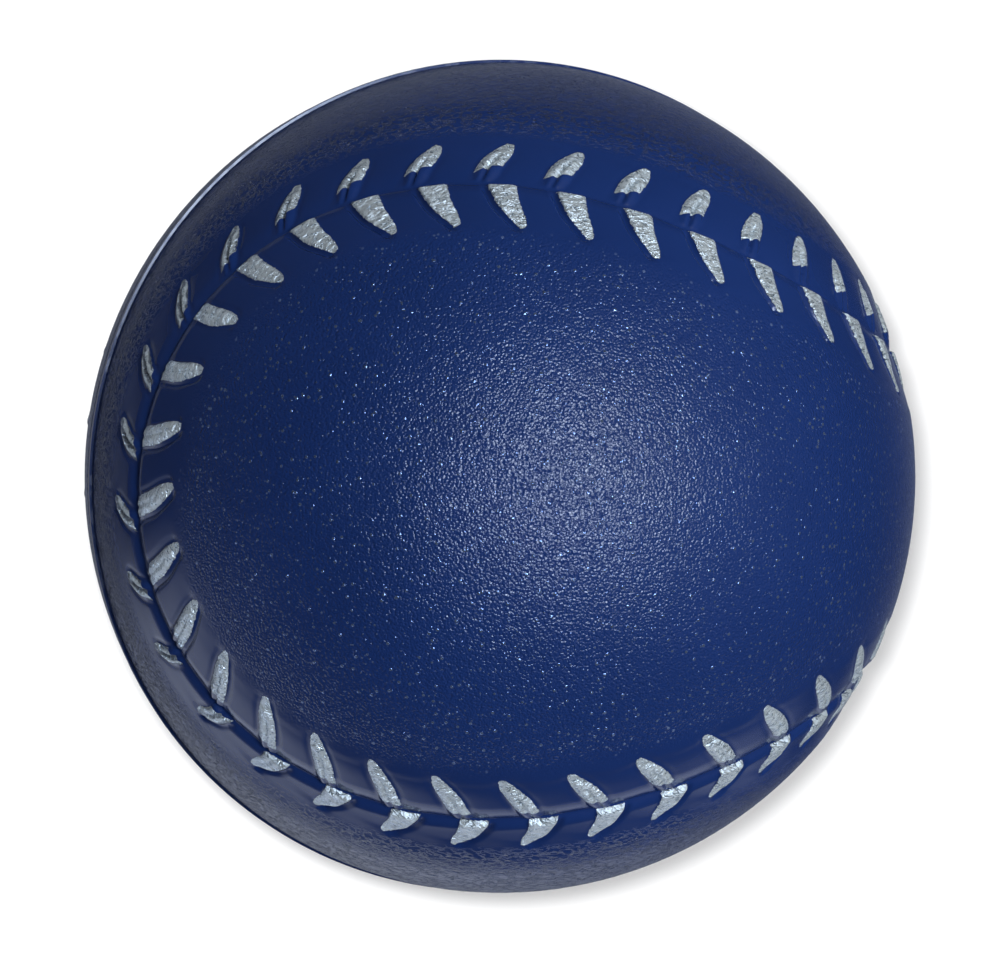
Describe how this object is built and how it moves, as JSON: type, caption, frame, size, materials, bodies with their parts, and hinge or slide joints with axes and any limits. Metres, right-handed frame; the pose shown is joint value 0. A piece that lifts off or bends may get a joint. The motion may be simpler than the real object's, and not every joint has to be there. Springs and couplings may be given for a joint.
{
  "type": "croquet ball",
  "caption": "Round lawn-game ball with a moulded baseball-style seam and silver raised stitches, two half covers over a core.",
  "frame": {"origin": "centre of the ball", "axes": "+Z is the direction in which the mould opens, square to the joint between the half covers, and +X points at the waist of the panel that covers the top"},
  "size_m": [0.0754, 0.0754, 0.075],
  "materials": {
    "upper_cover": "navy moulded cover, satin, fine grain, silver paint on the raised stitches",
    "lower_cover": "navy moulded cover, satin, leather grain, silver paint on the raised stitches",
    "core": "plain composition, as pressed"
  },
  "bodies": {
    "root": {"upper_cover": "upper_cover", "lower_cover": "lower_cover", "core": "core"}
  },
  "joints": []
}
